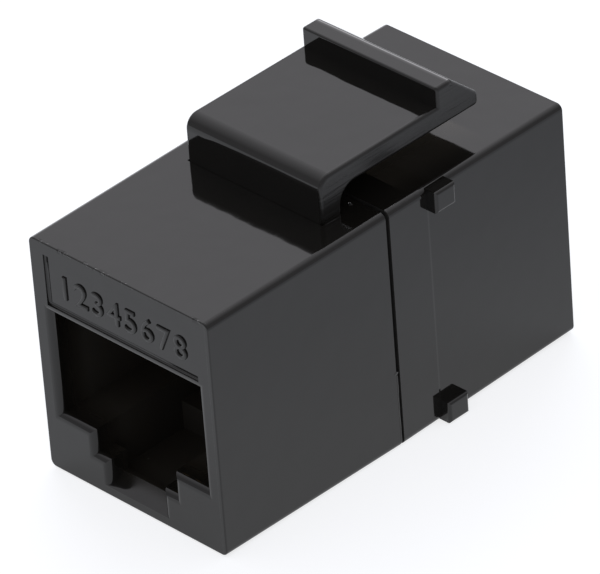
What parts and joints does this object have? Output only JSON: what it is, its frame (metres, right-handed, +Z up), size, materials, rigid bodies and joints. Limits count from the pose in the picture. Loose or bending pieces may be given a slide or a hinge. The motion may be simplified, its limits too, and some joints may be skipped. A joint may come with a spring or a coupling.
{
  "type": "keystone coupler jack",
  "caption": "Black in-line keystone jack: two moulded halves with a stepped modular port at each end, side lugs and a sprung panel latch on top.",
  "frame": {"origin": "on the underside at the seam between the two halves, midway across the width", "axes": "+X to the right seen from the front port, +Y from the front port to the rear port, +Z up towards the panel latch"},
  "size_m": [0.0162, 0.0293, 0.0206],
  "materials": {
    "black_abs": "moulded black ABS with a polished, slightly uneven skin",
    "carrier_pbt": "moulded black PBT, matt",
    "board_laminate": "glass-epoxy laminate with green solder mask",
    "contact_gold": "gold-plated phosphor-bronze wire"
  },
  "bodies": {
    "coupler_body": {"front_housing": "black_abs", "rear_housing": "black_abs", "front_contact_carrier": "carrier_pbt", "rear_contact_carrier": "carrier_pbt", "circuit_board": "board_laminate", "front_contact_1": "contact_gold", "front_contact_2": "contact_gold", "front_contact_3": "contact_gold", "front_contact_4": "contact_gold", "front_contact_5": "contact_gold", "front_contact_6": "contact_gold", "front_contact_7": "contact_gold", "front_contact_8": "contact_gold", "rear_contact_1": "contact_gold", "rear_contact_2": "contact_gold", "rear_contact_3": "contact_gold", "rear_contact_4": "contact_gold", "rear_contact_5": "contact_gold", "rear_contact_6": "contact_gold", "rear_contact_7": "contact_gold", "rear_contact_8": "contact_gold"},
    "latch_arm": {"latch": "black_abs"}
  },
  "joints": [
    {"name": "latch_flex", "type": "hinge", "parent": "coupler_body", "child": "latch_arm", "pos_m": [0, -0.00237, 0.0162], "axis": [-1, 0, 0], "range_deg": [0, 7.4], "stiffness_Nm_per_rad": 0.6}
  ]
}
